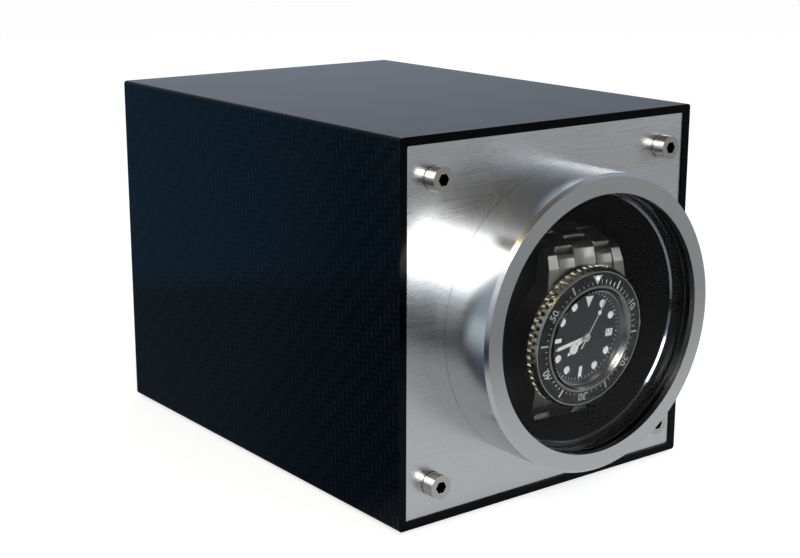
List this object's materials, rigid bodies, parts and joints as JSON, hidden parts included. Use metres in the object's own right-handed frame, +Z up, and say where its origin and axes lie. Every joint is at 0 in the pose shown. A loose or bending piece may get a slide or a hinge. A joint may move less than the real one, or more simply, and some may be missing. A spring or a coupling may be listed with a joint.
{
  "type": "single watch winder box",
  "caption": "Black lacquered watch winder box with a metal front, a round glazed cover and a motor-driven drum that turns a watch on its cushion.",
  "frame": {"origin": "centre of the overall box at the bottom, under the rubber feet", "axes": "+X to the right seen from the front, +Y from the cover to the rear panel, +Z up; the drum turns about Y"},
  "size_m": [0.105, 0.1652, 0.106],
  "materials": {
    "lacquer": "deep gloss black lacquer over a fine twill weave on the outside",
    "plate_metal": "fine brushed, half gloss",
    "cover_metal": "turned, satin",
    "screw_metal": "satin",
    "dark_screw": "black oxide",
    "panel_black": "fine grain",
    "rubber": "matt",
    "glass": "clear, flat",
    "liner_black": "gloss black",
    "bulkhead_grey": "moulded",
    "bearing_steel": "ground",
    "drum_black": "polished black",
    "gear_resin": "moulded",
    "brass": "machined",
    "motor_metal": "drawn",
    "cell_wrap": "printed film",
    "contact_metal": "plated",
    "board_green": "solder mask",
    "chip_black": "moulded",
    "wire_cover": "insulated leads",
    "control_black": "moulded",
    "lens": "clear green",
    "cushion_skin": "soft black",
    "watch_steel": "satin and polished",
    "movement_metal": "plated",
    "dial_black": "satin black",
    "lume": "pale paint",
    "insert_black": "anodised"
  },
  "bodies": {
    "case": {"casing": "lacquer", "front_plate": "plate_metal", "rear_panel": "panel_black", "corner_pillars": "motor_metal", "plate_screws": "screw_metal", "panel_screws": "dark_screw", "rubber_feet": "rubber", "base_collar": "cover_metal", "collar_screws": "screw_metal", "collar_oring": "rubber", "front_bulkhead": "bulkhead_grey", "rear_bulkhead": "bulkhead_grey", "bearing_outer_races": "bearing_steel", "bearing_balls": "bearing_steel", "motor": "motor_metal", "gearbox": "motor_metal", "motor_screws": "screw_metal", "battery_holder": "bulkhead_grey", "batteries": "cell_wrap", "battery_contacts": "contact_metal", "circuit_board": "board_green", "board_components": "chip_black", "board_standoffs": "brass", "motor_leads": "wire_cover", "power_socket": "control_black", "status_lens": "lens"},
    "cover": {"cover_ring": "cover_metal", "glass": "glass", "glass_gasket": "rubber", "glass_retainer": "liner_black"},
    "drum": {"drum_cup": "drum_black", "drum_shaft": "motor_metal", "drum_gear": "gear_resin", "shaft_clip": "dark_screw", "bearing_inner_races": "bearing_steel", "holder_base": "drum_black", "holder_cheeks": "drum_black", "holder_oring": "rubber", "cushion": "cushion_skin", "watch_case": "watch_steel", "case_back": "watch_steel", "movement": "movement_metal", "dial": "dial_black", "rehaut": "watch_steel", "hour_markers": "lume", "crystal": "glass", "bracelet": "watch_steel", "clasp": "watch_steel"},
    "motor_pinion": {"pinion": "brass", "motor_shaft": "motor_metal"},
    "battery_lid": {"battery_door": "panel_black"},
    "button": {"power_button": "control_black"},
    "mode_slider": {"direction_switch": "control_black"},
    "watch_bezel": {"bezel": "watch_steel", "bezel_insert": "insert_black"},
    "hour": {"hour_hand": "lume"},
    "minute": {"minute_hand": "lume"},
    "second": {"second_hand": "lume"},
    "winding_stem": {"crown_stem": "watch_steel"},
    "winding_crown": {"crown": "watch_steel"}
  },
  "joints": [
    {"name": "cover_pull", "type": "slide", "parent": "case", "child": "cover", "axis": [0, -1, 0], "range_m": [0, 0.06]},
    {"name": "drum_spin", "type": "hinge", "parent": "case", "child": "drum", "pos_m": [0, 0, 0.0535], "axis": [0, 1, 0], "continuous": true},
    {"name": "pinion_spin", "type": "hinge", "parent": "case", "child": "motor_pinion", "pos_m": [0, 0, 0.0775], "axis": [0, 1, 0], "continuous": true},
    {"name": "lid_pull", "type": "slide", "parent": "case", "child": "battery_lid", "axis": [0, 1, 0], "range_m": [0, 0.03]},
    {"name": "button_press", "type": "slide", "parent": "case", "child": "button", "axis": [0, -1, 0], "range_m": [0, 0.0012], "stiffness_N_per_m": 400, "springref_m": -0.0006},
    {"name": "mode_slide", "type": "slide", "parent": "case", "child": "mode_slider", "axis": [1, 0, 0], "range_m": [-0.0025, 0.0025]},
    {"name": "bezel_turn", "type": "hinge", "parent": "drum", "child": "watch_bezel", "pos_m": [0.00156, -0.07665, 0.04793], "axis": [-0.0038, -0.9962, -0.0871], "continuous": true},
    {"name": "minute_turn", "type": "hinge", "parent": "drum", "child": "minute", "pos_m": [0.00156, -0.07665, 0.04793], "axis": [-0.0038, -0.9962, -0.0871], "continuous": true},
    {"name": "hour_turn", "type": "hinge", "parent": "drum", "child": "hour", "pos_m": [0.00156, -0.07665, 0.04793], "axis": [-0.0038, -0.9962, -0.0871], "continuous": true},
    {"name": "second_turn", "type": "hinge", "parent": "drum", "child": "second", "pos_m": [0.00156, -0.07665, 0.04793], "axis": [-0.0038, -0.9962, -0.0871], "continuous": true},
    {"name": "crown_pull", "type": "slide", "parent": "drum", "child": "winding_stem", "axis": [0.999, 0, -0.0436], "range_m": [0, 0.001]},
    {"name": "crown_turn", "type": "hinge", "parent": "winding_stem", "child": "winding_crown", "pos_m": [0.02117, -0.06868, 0.04777], "axis": [0.999, 0, -0.0436], "continuous": true}
  ],
  "couplings": [
    {"joint": "pinion_spin", "follows": "drum_spin", "ratio": -3},
    {"joint": "hour_turn", "follows": "minute_turn", "ratio": 0.083333}
  ]
}
